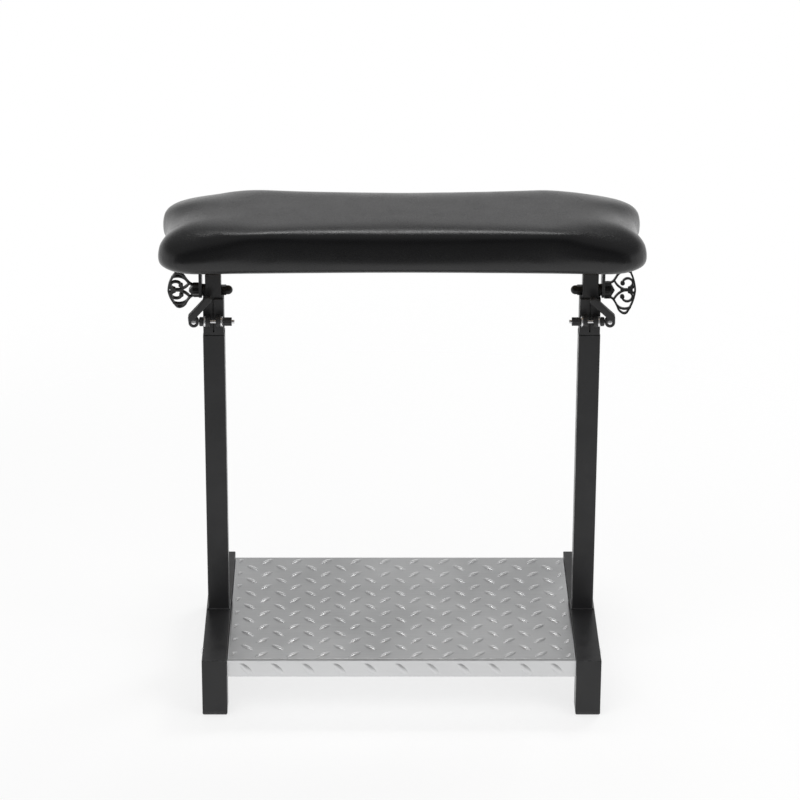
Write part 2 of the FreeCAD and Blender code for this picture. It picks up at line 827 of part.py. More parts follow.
def lever_shape():
    # The cam head turns on the pin; its slot lets the bolt swing through
    thick = size("cam_width")
    radius = size("lever_width") / 2
    head = (size("cam_x"), 0.0, size("cam_radius"))
    elbow = (size("cam_x") + size("lever_elbow_out"), size("lever_elbow_up"), radius)
    tip = (size("cam_x") - size("lever_tip_in"), size("lever_tip_up"), radius)
    shape = disc(*head, thick)
    for piece in (disc(*elbow, thick), disc(*tip, thick),
                  link_between(head, elbow, thick), link_between(elbow, tip, thick)):
        shape = shape.fuse(piece)
    shape = rounded_faces(shape.removeSplitter(), thick, size("lever_round"))
    hole = disc(head[0], 0.0, size("pin_thick") / 2 + size("turn_play"), 2 * thick)
    slot_half = size("clamp_bolt_thick") / 2 + size("cam_slot_play")
    slot_low = -2 * size("cam_radius")
    slot_top = slot_half + size("cam_radius") * math.sin(math.radians(RIGHT_LEVER_LEAN))
    slot = Part.makeBox(4 * size("cam_radius"), 2 * slot_half, slot_top - slot_low,
                        VECTOR(head[0] - 2 * size("cam_radius"), -slot_half, slot_low))
    return shape.cut(hole).cut(slot)


def clamp_lever(word, sign):
    lean = RIGHT_LEVER_LEAN if sign > 0 else 0.0
    pin = VECTOR(size("cam_x"), 0, 0)
    shape = lever_shape()
    shape.rotate(pin, AXIS_Y, -lean)
    return settle_on_clamp(word + "_clamp_lever", shape, sign)


def clamp_nut(word, sign):
    radius = size("nut_width") / 2
    rib = size("nut_rib")
    length = size("nut_length")
    barrel = Part.makeCylinder(radius - rib / 2, length, VECTOR(0, 0, 0), AXIS_X)
    flutes = int(math.pi * radius / (2 * rib))
    for i in range(flutes):
        turn = math.tau * i / flutes
        spot = VECTOR(0, (radius - rib) * math.cos(turn), (radius - rib) * math.sin(turn))
        barrel = barrel.fuse(Part.makeCylinder(rib, length, spot, AXIS_X))
    bore = size("clamp_bolt_thick") / 2 + size("turn_play")
    barrel = barrel.cut(Part.makeCylinder(bore, length, VECTOR(0, 0, 0), AXIS_X))
    barrel.translate(VECTOR(-size("nut_end"), 0, 0))
    return settle_on_clamp(word + "_clamp_nut", barrel, sign)


# Inner tubes

def inner_tube(word, sign):
    body = tube(word + "_inner_tube", "inner_side", "inner_bore", "inner_length", "inner_corner")
    hole = new_sketch(body, "YZ_Plane")
    circle(hole, "stud_hole", "0", "inner_length - inner_rise")
    pocket(body, hole, "2 * inner_side", side="Symmetric")
    place(body, side_x(sign), "0", "inner_low")
    return keep(body)


def guide_plug(word, sign):
    body = new_body(word + "_guide_plug")
    block = new_sketch(body, "XY_Plane")
    rectangle(block, "post_bore - 2 * guide_play", "post_bore - 2 * guide_play")
    pad(body, block, "guide_height", reverse=True)
    plug = new_sketch(body, "XY_Plane")
    rectangle(plug, "inner_bore", "inner_bore")
    pad(body, plug, "guide_plug")
    place(body, side_x(sign), "0", "inner_low")
    return keep(body)


def tube_cap(word, sign):
    body = new_body(word + "_tube_cap")
    flange = new_sketch(body, "XY_Plane")
    rectangle(flange, "inner_side", "inner_side")
    pad(body, flange, "top_cap_flange")
    fillet(body, "inner_corner", lambda edge: runs_along(edge, AXIS_Z)
           or near(edge.BoundBox.ZMin, size("top_cap_flange")))
    plug = new_sketch(body, "XY_Plane")
    rectangle(plug, "inner_bore", "inner_bore")
    pad(body, plug, "top_cap_plug", reverse=True)
    place(body, side_x(sign), "0", "inner_top")
    return keep(body)


# Tilt pivots: the local X axis runs outward along the stud

def place_on_pivot(item, sign):
    place(item, side_x(sign), "0", "pivot_z", turned=sign < 0)
    return keep(item)


def settle_on_pivot(label, shape, sign):
    return settle(label, shape, sign, 0, size("pivot_z"))


def pivot_spacer(word, sign):
    body = turned_piece(word + "_pivot_spacer", [
        ("inner_side / 2", "stud_hole / 2"),
        ("inner_side / 2", "spacer_width / 2"),
        ("spacer_end", "spacer_width / 2"),
        ("spacer_end", "stud_hole / 2"),
    ])
    return place_on_pivot(body, sign)


def dome_nut(word, sign):
    flats = size("dome_nut_flats")
    hexes = size("dome_nut_hex")
    length = size("dome_nut_length")
    bore = size("stud_hole")
    radius = flats / 2 - size("turn_play")
    nut = hexagon(flats, hexes, bore)
    rise = length - radius
    dome = Part.makeCylinder(radius, rise, VECTOR(0, 0, 0), AXIS_X)
    dome = dome.fuse(Part.makeSphere(radius, VECTOR(rise, 0, 0)))
    dome = dome.common(Part.makeBox(length, flats, flats, VECTOR(0, -flats / 2, -flats / 2)))
    depth = length - size("dome_nut_wall")
    dome = dome.cut(Part.makeCylinder(bore / 2, depth, VECTOR(0, 0, 0), AXIS_X))
    shape = nut.fuse(dome).removeSplitter()
    shape.rotate(VECTOR(0, 0, 0), AXIS_Z, HALF_TURN)
    shape.translate(VECTOR(-size("inner_side") / 2, 0, 0))
    return settle_on_pivot(word + "_dome_nut", shape, sign)


def knob_stud(word, sign):
    body = turned_piece(word + "_knob_stud", [
        ("-stud_inner_end", "0"),
        ("-stud_inner_end", "stud_thick / 2"),
        ("knob_start + boss_length / 2", "stud_thick / 2"),
        ("knob_start + boss_length / 2", "0"),
    ])
    return place_on_pivot(body, sign)


# Wing knobs

def wing_point(share, sign):
    along, up = share
    return VECTOR(along * size("wing_length"), 0, sign * up * size("wing_half_height"))


def stroke_ends(points, thick, radius):
    return [disc(point.x, point.z, radius, thick) for point in points]


def arc_stroke(points, thick, radius):
    # A bent bar of even width through three points, with round ends
    shape = Part.Arc(*points).toShape()
    centre = shape.Curve.Center
    low = VECTOR(0, -thick / 2, 0)
    bars = []
    for edge_radius in (shape.Curve.Radius + radius, shape.Curve.Radius - radius):
        ends = [centre + (point - centre).normalize() * edge_radius for point in points]
        bars.append(Part.Arc(*ends).toShape())
    outer, inner = bars
    first = Part.makeLine(outer.valueAt(outer.FirstParameter), inner.valueAt(inner.FirstParameter))
    last = Part.makeLine(outer.valueAt(outer.LastParameter), inner.valueAt(inner.LastParameter))
    outline = Part.Wire(Part.__sortEdges__([outer, last, inner, first]))
    face = Part.Face(outline)
    face.translate(low)
    bar = face.extrude(VECTOR(0, thick, 0))
    ends = [shape.valueAt(shape.FirstParameter), shape.valueAt(shape.LastParameter)]
    return [bar] + stroke_ends(ends, thick, radius)


def line_stroke(first, last, thick, radius):
    web = link_between((first.x, first.z, radius), (last.x, last.z, radius), thick)
    return [web] + stroke_ends([first, last], thick, radius)


def wing_shape():
    thick = size("wing_thick")
    radius = size("wing_stroke") / 2
    pieces = []
    for sign in (1, -1):
        for shares in WING_ARC_SHARES:
            points = [wing_point(share, sign) for share in shares]
            pieces += arc_stroke(points, thick, radius)
        fork = [wing_point(share, sign) for share in WING_FORK_SHARES]
        pieces += line_stroke(fork[0], fork[1], thick, radius)
        ball = wing_point(WING_BALL_SHARES, sign)
        pieces.append(disc(ball.x, ball.z, size("wing_ball") / 2, thick))
    bar = [wing_point((share, 0.0), 1) for share in WING_BAR_SHARES]
    pieces += line_stroke(bar[0], bar[1], thick, size("wing_bar") / 2)
    hub_thick = size("hub_thick")
    half = size("hub_half_height")
    corners = [VECTOR(0, hub_thick / 2, -half), VECTOR(size("hub_length"), hub_thick / 2, -half),
               VECTOR(size("hub_point"), hub_thick / 2, 0),
               VECTOR(size("hub_length"), hub_thick / 2, half), VECTOR(0, hub_thick / 2, half)]
    hub = Part.Face(Part.makePolygon(corners + corners[:1])).extrude(VECTOR(0, -hub_thick, 0))
    pieces.append(hub)
    pieces.append(Part.makeCylinder(size("boss_width") / 2, size("boss_length"), VECTOR(0, 0, 0), AXIS_X))
    shape = pieces[0].multiFuse(pieces[1:]).removeSplitter()
    depth = size("boss_length") / 2
    return shape.cut(Part.makeCylinder(size("stud_thick") / 2, depth, VECTOR(0, 0, 0), AXIS_X))


def wing_knob(word, sign, wing):
    shape = wing.copy()
    shape.translate(VECTOR(size("knob_start"), 0, 0))
    lean = LEFT_KNOB_LEAN if sign < 0 else 0.0
    shape.rotate(VECTOR(0, 0, 0), AXIS_X, -lean)
    return settle_on_pivot(word + "_wing_knob", shape, sign)


# Pad brackets

def pad_bracket(word, sign):
    body = new_body(word + "_pad_bracket")
    side_view = new_sketch(body, "XZ_Plane")
    low = "-bracket_below"
    leaf_bottom = "pad_lift + cover_sheet - bracket_sheet"
    leaf_top = "pad_lift + cover_sheet"
    polygon(side_view, [
        ("ear_in", low),
        ("ear_end", low),
        ("ear_end", leaf_top),
        ("leaf_in", leaf_top),
        ("leaf_in", leaf_bottom),
        ("ear_in", leaf_bottom),
    ])
    pad(body, side_view, "bracket_width", side="Symmetric")
    bottom = -size("bracket_below")
    fillet(body, "bracket_round", lambda edge: runs_along(edge, AXIS_X) and near(edge.BoundBox.ZMin, bottom))
    top = size("pad_lift") + size("cover_sheet")
    fillet(body, "bracket_bend", lambda edge: runs_along(edge, AXIS_Y)
           and near(edge.BoundBox.ZMin, top) and near(edge.BoundBox.XMin, size("ear_end")))
    pivot_hole = new_sketch(body, "YZ_Plane")
    circle(pivot_hole, "stud_hole")
    pocket(body, pivot_hole, "3 * ear_end", side="Symmetric")
    screw_holes = new_sketch(body, "XY_Plane", leaf_bottom)
    circle(screw_holes, "screw_hole", "screw_near")
    circle(screw_holes, "screw_hole", "screw_far")
    pocket(body, screw_holes, "bracket_sheet", reverse=True)
    return place_on_pivot(body, sign)


def screw_spots():
    return [VECTOR(sign * (size("post_x") + size(name)), 0, 0)
            for word, sign in SIDES for name in ("screw_near", "screw_far")]


def bracket_screws():
    body = new_body("bracket_screw")
    head = new_sketch(body, "XY_Plane", "leaf_low")
    circle(head, "screw_head")
    pad(body, head, "screw_head_height", reverse=True)
    low = size("leaf_low") - size("screw_head_height")
    fillet(body, "screw_head_height / 2", lambda edge: near(edge.BoundBox.ZMax, low))
    shank = new_sketch(body, "XY_Plane", "leaf_low")
    circle(shank, "screw_thick")
    pad(body, shank, "bracket_sheet + board_sheet - tee_nut_sheet")
    shape = set_aside(body)
    return keep(feature("bracket_screws", Part.makeCompound(
        [turned_copy(shape, spot) for spot in screw_spots()])))


def tee_nuts():
    body = new_body("tee_nut")
    flange = new_sketch(body, "XY_Plane", "board_top - tee_nut_sheet")
    circle(flange, "tee_nut_flange")
    pad(body, flange, "tee_nut_sheet")
    barrel = new_sketch(body, "XY_Plane", "board_top - tee_nut_sheet")
    circle(barrel, "tee_nut_barrel")
    pad(body, barrel, "tee_nut_length", reverse=True)
    thread = new_sketch(body, "XY_Plane", "board_top - tee_nut_sheet")
    circle(thread, "screw_thread")
    pocket(body, thread, "tee_nut_length")
    shape = set_aside(body)
    return keep(feature("board_tee_nuts", Part.makeCompound(
        [turned_copy(shape, spot) for spot in screw_spots()])))


# Pad

def pad_outline(side_inset, end_inset, lobe, height):
    # Four round lobes joined by four hollow sides, each arc tangent to the next
    centre_x = size("pad_width") / 2 - end_inset - lobe
    centre_y = size("pad_depth") / 2 - side_inset - lobe
    front_dip = size("pad_front_dip")
    side_dip = size("pad_side_dip")
    front_sum = (centre_x ** 2 + front_dip ** 2) / (2 * front_dip)
    side_sum = (centre_y ** 2 + side_dip ** 2) / (2 * side_dip)
    front_centre = centre_y + front_sum - front_dip
    side_centre = centre_x + side_sum - side_dip
    edges = []
    corners = ((1, 1), (-1, 1), (-1, -1), (1, -1))
    for i, (sx, sy) in enumerate(corners):
        hub = VECTOR(sx * centre_x, sy * centre_y, 0)
        side_hub = VECTOR(sx * side_centre, 0, 0)
        front_hub = VECTOR(0, sy * front_centre, 0)
        touch_side = hub + (side_hub - hub).normalize() * lobe
        touch_front = hub + (front_hub - hub).normalize() * lobe
        outward = ((touch_side - hub) + (touch_front - hub)).normalize() * lobe
        start, end = (touch_side, touch_front) if i % 2 == 0 else (touch_front, touch_side)
        edges.append((start, hub + outward, end))
        next_sx, next_sy = corners[(i + 1) % 4]
        if next_sy == sy:
            middle = VECTOR(0, sy * (front_centre - (front_sum - lobe)), 0)
            following = VECTOR(-touch_front.x, touch_front.y, 0)
        else:
            middle = VECTOR(sx * (side_centre - (side_sum - lobe)), 0, 0)
            following = VECTOR(touch_side.x, -touch_side.y, 0)
        edges.append((end, middle, following))
    arcs = [Part.Arc(*points).toShape() for points in edges]
    wire = Part.Wire(arcs)
    wire.translate(VECTOR(0, 0, height))
    return wire


def cushion(skin):
    # The cushion's form, drawn in all round by the thickness of a skin
    low = size("pad_low")
    height = size("pad_height")
    wires = []
    for height_share, side_share, end_share in PAD_SECTION_SHARES:
        side_inset = side_share * size("pad_lobe")
        end_inset = end_share * size("pad_lobe")
        lobe = size("pad_lobe") + LOBE_GROWTH_SHARE * side_inset - skin
        level = low + skin + height_share * (height - 2 * skin)
        wires.append(pad_outline(side_inset + skin, end_inset + skin, lobe, level))
    return Part.makeLoft(wires, True, False, False, LOFT_DEGREE)


def even_outline(inset, height):
    lobe = size("pad_lobe") - LOBE_SHRINK_SHARE * inset
    return pad_outline(inset, inset, lobe, height)


def pad_pieces():
    board_face = Part.Face(even_outline(size("board_inset"), size("board_low")))
    block = board_face.extrude(VECTOR(0, 0, size("board_sheet")))
    outer = cushion(0.0)
    inner = cushion(size("cover_sheet"))
    filling = cushion(size("cover_sheet") + size("cover_gap"))
    hem = Part.Face(even_outline(size("board_inset") + size("cover_hem"), size("pad_low") - OVERRUN))
    opening = hem.extrude(VECTOR(0, 0, OVERRUN + size("board_sheet")))
    keep(feature("pad_cover", outer.cut(inner).cut(opening)))
    keep(feature("pad_foam", filling.cut(block)))
    board = block
    for spot in screw_spots():
        barrel = Part.makeCylinder(size("tee_nut_barrel") / 2, size("board_sheet"),
                                   spot + VECTOR(0, 0, size("board_low")))
        flange = Part.makeCylinder(size("tee_nut_flange") / 2, size("tee_nut_sheet"),
                                   spot + VECTOR(0, 0, size("board_top") - size("tee_nut_sheet")))
        board = board.cut(barrel).cut(flange)
    keep(feature("pad_board", board))


# Assembly

def check():
    for item in doc.Objects:
        bad = [state for state in item.State if state in ("Invalid", "Error")]
        if bad:
            raise RuntimeError("%s is %s" % (item.Label, bad))
    for item in nodes:
        if item.Shape.isNull() or not item.Shape.isValid() or not item.Shape.Solids:
            raise RuntimeError(item.Label + " has no valid solid")


def export():
    os.makedirs("parts", exist_ok=True)
    for item in nodes:
        item.Shape.exportStep("parts/%s.step" % item.Label)
        print("%-24s %3d solid(s) %12.1f mm3" % (item.Label, len(item.Shape.Solids), item.Shape.Volume))


fill_sheet()
for word, sign in SIDES:
    foot_rail(word, sign)
    for end_word, back in (("front", False), ("rear", True)):
        foot_leg(word, sign, end_word, back)
        foot_cap(word, sign, end_word, back)
    outer_tube(word, sign)
    post_weld(word, sign)
tread_plate()
frame_fasteners()
clamp_washers()
for word, sign in SIDES:
    clamp_collar(word, sign)
    clamp_bolt(word, sign)
    cam_bushing(word, sign)
    cam_pin(word, sign)
    clamp_lever(word, sign)
    clamp_nut(word, sign)
    inner_tube(word, sign)
    guide_plug(word, sign)
    tube_cap(word, sign)
    pivot_spacer(word, sign)
    dome_nut(word, sign)
    knob_stud(word, sign)
    pad_bracket(word, sign)
wing = wing_shape()
for word, sign in SIDES:
    wing_knob(word, sign, wing)
bracket_screws()
tee_nuts()
pad_pieces()
doc.recompute()
check()
export()
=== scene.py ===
import json
import math

import bmesh
import bpy
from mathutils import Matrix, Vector

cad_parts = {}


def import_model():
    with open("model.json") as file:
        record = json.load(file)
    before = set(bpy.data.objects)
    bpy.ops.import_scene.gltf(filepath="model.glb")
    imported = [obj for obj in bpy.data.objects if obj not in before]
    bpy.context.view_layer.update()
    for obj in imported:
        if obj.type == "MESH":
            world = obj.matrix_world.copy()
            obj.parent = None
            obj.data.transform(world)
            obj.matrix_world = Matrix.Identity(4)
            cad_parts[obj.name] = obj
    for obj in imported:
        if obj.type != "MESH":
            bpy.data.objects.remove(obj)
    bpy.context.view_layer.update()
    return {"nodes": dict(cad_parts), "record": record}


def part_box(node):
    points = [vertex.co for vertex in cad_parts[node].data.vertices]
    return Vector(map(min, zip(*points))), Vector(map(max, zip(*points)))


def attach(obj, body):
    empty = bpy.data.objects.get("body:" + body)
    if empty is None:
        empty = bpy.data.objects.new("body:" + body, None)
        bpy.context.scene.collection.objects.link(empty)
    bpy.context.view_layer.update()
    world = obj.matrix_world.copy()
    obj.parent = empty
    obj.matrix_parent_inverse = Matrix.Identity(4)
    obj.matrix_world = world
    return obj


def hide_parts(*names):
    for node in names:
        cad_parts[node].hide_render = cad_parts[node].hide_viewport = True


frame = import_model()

# Camera: from the front, above the pad and looking down. Pixels are those of the square photograph.

PHOTO_SIDE = 800.0
FOCAL_PIXELS = 3459.0
AXIS_PIXEL = 366.5
SENSOR_MM = 36.0
CAMERA_PLACE = (-0.049, -4.5, 2.28)
CAMERA_PITCH = 22.61

# Studio, in metres and watts. Tones are shares of white. The ceiling's, front's and ground's starts
# and ends say how far a direction points up, towards the photographer and down.

FLOOR_RADIUS = 1.6
FLOOR_SIDES = 96
FLOOR_CLEAR = 0.8
FLOOR_DROP = 0.0002
FLOOR_TONE = 0.82
FLOOR_SEEN_TONE = 0.34
FLOOR_GLOW = 0.72
AMBIENT = 0.42
CEILING_TONE = 0.3
CEILING_START = 0.12
CEILING_END = 0.55
FRONT_TONE = 0.16
FRONT_START = 0.3
FRONT_END = 0.8
GROUND_START = 0.26
GROUND_END = 0.44
LAMPS = {
    "key": {"place": (-0.9, -1.6, 2.5), "size": (2.2, 2.2), "watts": 18.0, "mirrored": False},
    "fill": {"place": (1.7, -1.5, 1.7), "size": (1.4, 1.4), "watts": 9.0, "mirrored": False},
    "side": {"place": (1.2, 1.5, 2.4), "size": (1.0, 1.0), "watts": 14.0, "mirrored": False},
    "strip": {"place": (-0.05, 1.35, 2.6), "size": (1.3, 0.36), "watts": 8.0, "mirrored": True},
}
LAMP_AIM = (0.0, 0.0, 0.35)

# Pad, in metres. Its height is the CAD cover's.

PAD_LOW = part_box("pad_cover")[0][2]
PAD_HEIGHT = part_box("pad_cover")[1][2] - PAD_LOW
PAD_WIDTH = 0.664
PAD_DEPTH = 0.218
PAD_LOBE = 0.042
PAD_SIDE_DIP = 0.008
PAD_FRONT_DIP = 0.010
LOBE_GROWTH_SHARE = 0.24
LOBE_SHRINK_SHARE = 0.2
SIDE_STEPS = 10
LOBE_STEPS = 26
FRONT_STEPS = 44
# Sections from the bottom up: share of the height, then insets of the long sides and of the
# ends as shares of the lobe radius
PAD_SECTION_SHARES = [
    (0.0, 0.42, 0.38),
    (0.02, 0.33, 0.26),
    (0.05, 0.24, 0.15),
    (0.10, 0.15, 0.065),
    (0.17, 0.08, 0.02),
    (0.25, 0.03, 0.0),
    (0.36, 0.0, 0.0),
    (0.52, 0.0, 0.03),
    (0.68, 0.01, 0.15),
    (0.81, 0.05, 0.44),
    (0.91, 0.13, 0.96),
    (0.97, 0.27, 1.7),
    (1.0, 0.52, 2.7),
]
SECTION_STEPS = 4
SIDE_SPARE = 0.001
END_SPARE = 0.004
TOP_SLACK = 0.001
# The lobes are drawn in towards the top, from LOBE_START to LOBE_END off the middle
LOBE_SLOPE = 0.5
LOBE_SLOPE_POWER = 4
LOBE_START = 0.19
LOBE_END = 0.34
PAD_VOXEL = 0.0045
PAD_FRAMES = 20
PAD_SWELL = 0.003
PIN_HEIGHT = 0.003
HELD_GROUP = "held"
CLOTH = {
    "quality": 6,
    "mass": 0.4,
    "tension_stiffness": 12.0,
    "compression_stiffness": 12.0,
    "shear_stiffness": 8.0,
    "bending_stiffness": 4.0,
    "use_pressure": True,
    "uniform_pressure_force": 4.0,
    "vertex_group_mass": HELD_GROUP,
}
SMOOTH_FACTOR = 0.5
SMOOTH_PASSES = 16
SWELL_PASSES = 60
LEAST_MOVE = 1e-9
BOARD_INSET = 0.022
HEM_WIDTH = 0.018
HEM_START = 0.019
HEM_STEPS = 12
HEM_SHEET = 0.0012
HEM_TUCK = 0.001
HEM_TUCK_POWER = 4
PLEAT_DEPTH = 0.0011
PLEATS_PER_LOBE = 9
QUARTERS = 4
RECESS_DEPTH = 0.007
RECESS_MARGIN = 0.008
STAPLE_PITCH = 0.024
STAPLE_WIDTH = 0.011
STAPLE_WIRE = 0.0011
# Shares of the wire
STAPLE_SUNK = 0.2
STAPLE_PROUD = 0.5
STAPLE_ROUND = 0.25
STAPLE_ROUND_STEPS = 2

# Surfaces, in metres

EDGE_ROUND = 0.0006
THIN_EDGE_ROUND = 0.0003
EDGE_SAMPLES = 6
WEAR_REACH = 0.0012
GRAIN_BEND = 0.0011
# Depths below the tops of the plate's lugs: where the lug tops get a painted glint and less
# roughness, and where the lip starts, which is painted lighter than the top
GLINT_START = 0.0011
GLINT_END = 0.0002
LIP_START = 0.0022
LIP_END = 0.0032
# Where most of a noise's values lie
NOISE_LOW = 0.3
NOISE_HIGH = 0.7


# Surfaces

class Surface:
    """One material: its shader and short ways to add texture nodes, with places in metres."""

    def __init__(self, name, colour, roughness, metallic=0.0, specular=0.5):
        self.material = bpy.data.materials.new(name)
        self.material.use_nodes = True
        self.tree = self.material.node_tree
        self.shader = self.tree.nodes["Principled BSDF"]
        self.place = self.add("ShaderNodeTexCoord").outputs["Object"]
        self.put("Base Color", (*colour, 1.0))
        self.put("Roughness", roughness)
        self.put("Metallic", metallic)
        self.put("Specular IOR Level", specular)

    def add(self, kind, **settings):
        item = self.tree.nodes.new(kind)
        for key, value in settings.items():
            setattr(item, key, value)
        return item

    def join(self, value, socket):
        if isinstance(value, bpy.types.NodeSocket):
            self.tree.links.new(value, socket)
        else:
            socket.default_value = value

    def put(self, name, value):
        self.join(value, self.shader.inputs[name])

    def stretched(self, stretch):
        mapping = self.add("ShaderNodeMapping")
        self.join(self.place, mapping.inputs["Vector"])
        mapping.inputs["Scale"].default_value = stretch
        return mapping.outputs["Vector"]

    def noise(self, scale, detail=3.0, rough=0.5, stretch=None):
        texture = self.add("ShaderNodeTexNoise")
        self.join(self.stretched(stretch) if stretch else self.place, texture.inputs["Vector"])
        texture.inputs["Scale"].default_value = scale
        texture.inputs["Detail"].default_value = detail
        texture.inputs["Roughness"].default_value = rough
        return texture.outputs["Fac"]

    def cells(self, scale, feature="F1", vector=None):
        texture = self.add("ShaderNodeTexVoronoi", feature=feature)
        self.join(vector or self.place, texture.inputs["Vector"])
        texture.inputs["Scale"].default_value = scale
        return texture.outputs["Distance"]

    def ranged(self, value, low, high, start=0.0, end=1.0):
        """value from low to high becomes start to end, and stays there outside."""
        item = self.add("ShaderNodeMapRange", interpolation_type="SMOOTHSTEP")
        self.join(value, item.inputs["Value"])
        item.inputs["From Min"].default_value = low
        item.inputs["From Max"].default_value = high
        item.inputs["To Min"].default_value = start
        item.inputs["To Max"].default_value = end
        return item.outputs["Result"]

    def varied(self, noise, start, end):
        """A noise's usual values become start to end."""
        return self.ranged(noise, NOISE_LOW, NOISE_HIGH, start, end)

    def combined(self, operation, first, second):
        item = self.add("ShaderNodeMath", operation=operation)
        self.join(first, item.inputs[0])
        self.join(second, item.inputs[1])
        return item.outputs["Value"]

    def sum(self, first, second):
        return self.combined("ADD", first, second)

    def product(self, first, second):
        return self.combined("MULTIPLY", first, second)

    def mixed(self, share, first, second):
        item = self.add("ShaderNodeMix", data_type="RGBA")
        self.join(share, item.inputs["Factor"])
        for value, name in ((first, "A"), (second, "B")):
            socket = [s for s in item.inputs if s.name == name and s.type == "RGBA"][0]
            self.join(value if isinstance(value, bpy.types.NodeSocket) else (*value, 1.0), socket)
        return [s for s in item.outputs if s.type == "RGBA"][0]

    def bump(self, height, distance, strength=1.0, under=None):
        item = self.add("ShaderNodeBump")
        self.join(height, item.inputs["Height"])
        item.inputs["Distance"].default_value = distance
        item.inputs["Strength"].default_value = strength
        if under:
            self.join(under, item.inputs["Normal"])
        self.put("Normal", item.outputs["Normal"])
        return item.outputs["Normal"]

    def rounded(self, radius):
        """The surface's normal with its sharp edges rounded."""
        item = self.add("ShaderNodeBevel", samples=EDGE_SAMPLES)
        item.inputs["Radius"].default_value = radius
        return item.outputs["Normal"]

    def edges(self, radius, low, high):
        """1 where the surface turns sharply within radius, 0 on the flats."""
        flat = self.add("ShaderNodeNewGeometry").outputs["Normal"]
        item = self.add("ShaderNodeVectorMath", operation="DOT_PRODUCT")
        self.join(self.rounded(radius), item.inputs[0])
        self.join(flat, item.inputs[1])
        return self.ranged(item.outputs["Value"], low, high, 1.0, 0.0)


def frame_paint():
    paint = Surface("powder_coat", (0.022, 0.022, 0.023), 0.42, 0.0, 0.38)
    spots = paint.ranged(paint.noise(160.0), 0.46, 0.6)
    worn = paint.product(paint.edges(WEAR_REACH, 0.86, 0.97), spots)
    coat = paint.mixed(paint.noise(9.0, 2.0), (0.018, 0.018, 0.0188), (0.026, 0.026, 0.0272))
    paint.put("Base Color", paint.mixed(paint.product(worn, 0.45), coat, (0.14, 0.14, 0.145)))
    paint.put("Roughness", paint.varied(paint.noise(38.0, 4.0), 0.28, 0.4))
    paint.bump(paint.noise(1100.0, 2.0), 0.00012, 0.5, paint.rounded(EDGE_ROUND))
    return paint.material


def tread_metal():
    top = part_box("tread_plate")[1][2]
    metal = Surface("rolled_aluminium", (0.5, 0.505, 0.51), 0.36, 0.7)
    streaks = metal.noise(1.0, 3.0, 0.6, (14.0, 900.0, 900.0))
    clouds = metal.noise(7.0, 3.0)
    tone = metal.sum(metal.product(streaks, 0.35), metal.product(clouds, 0.65))
    parts = metal.add("ShaderNodeSeparateXYZ")
    metal.join(metal.place, parts.inputs["Vector"])
    height = parts.outputs["Z"]
    # Lug tops: a painted glint, a brighter colour at their highest parts, with a lower roughness as
    # well
    polish_and_glint = metal.ranged(height, top - GLINT_START, top - GLINT_END)
    # The lip is painted lighter than the top (painted light) and the top is painted darker (painted
    # shade), over the top's streaky, clouded tone
    lit_lip = metal.ranged(height, top - LIP_START, top - LIP_END)
    top_painted_darker = metal.mixed(metal.varied(tone, 0.0, 1.0), (0.48, 0.485, 0.49), (0.62, 0.625, 0.63))
    top_with_glints = metal.mixed(polish_and_glint, top_painted_darker, (0.76, 0.765, 0.77))
    metal.put("Base Color", metal.mixed(lit_lip, top_with_glints, (0.76, 0.765, 0.77)))
    matte = metal.varied(tone, 0.34, 0.46)
    metal.put("Roughness", metal.combined("SUBTRACT", matte, metal.product(polish_and_glint, 0.14)))
    drawn_out = metal.stretched((1.0, 7.0, 1.0))
    scratches = metal.ranged(metal.cells(60.0, "DISTANCE_TO_EDGE", drawn_out), 0.0, 0.012)
    fine = metal.bump(streaks, 0.00006, 0.5, metal.rounded(THIN_EDGE_ROUND))
    metal.bump(scratches, 0.00005, 0.35, fine)
    return metal.material


def black_plastic():
    plastic = Surface("moulded_plastic", (0.024, 0.024, 0.025), 0.5)
    tone = plastic.mixed(plastic.noise(22.0), (0.02, 0.02, 0.021), (0.03, 0.03, 0.031))
    plastic.put("Base Color", tone)
    plastic.put("Roughness", plastic.varied(plastic.noise(55.0, 4.0), 0.4, 0.56))
    plastic.bump(plastic.noise(1900.0, 2.0), 0.0001, 0.4, plastic.rounded(EDGE_ROUND))
    return plastic.material


def knob_enamel():
    enamel = Surface("gloss_enamel", (0.007, 0.007, 0.0075), 0.34, 0.0, 0.3)
    tone = enamel.mixed(enamel.noise(60.0), (0.0055, 0.0055, 0.006), (0.0095, 0.0095, 0.01))
    enamel.put("Base Color", tone)
    enamel.put("Roughness", enamel.varied(enamel.noise(120.0, 4.0), 0.26, 0.42))
    enamel.put("Coat Weight", 0.12)
    enamel.put("Coat Roughness", 0.12)
    enamel.bump(enamel.noise(420.0, 1.0), 0.00015, 0.35, enamel.rounded(EDGE_ROUND))
    return enamel.material


def chrome():
    metal = Surface("chrome", (0.88, 0.88, 0.89), 0.2, 0.8)
    metal.put("Roughness", metal.ranged(metal.noise(240.0, 4.0), 0.35, 0.7, 0.14, 0.28))
    metal.put("Base Color", metal.mixed(metal.noise(90.0), (0.84, 0.84, 0.85), (0.92, 0.92, 0.93)))
    metal.bump(metal.noise(900.0, 2.0), 0.00003, 0.4, metal.rounded(THIN_EDGE_ROUND))
    return metal.material


def zinc():
    metal = Surface("zinc_plate", (0.6, 0.6, 0.59), 0.32, 1.0)
    metal.put("Base Color", metal.mixed(metal.noise(140.0), (0.54, 0.55, 0.57), (0.66, 0.65, 0.61)))
    metal.put("Roughness", metal.varied(metal.noise(300.0, 4.0), 0.24, 0.42))
    metal.bump(metal.noise(1500.0, 2.0), 0.00004, 0.5, metal.rounded(THIN_EDGE_ROUND))
    return metal.material


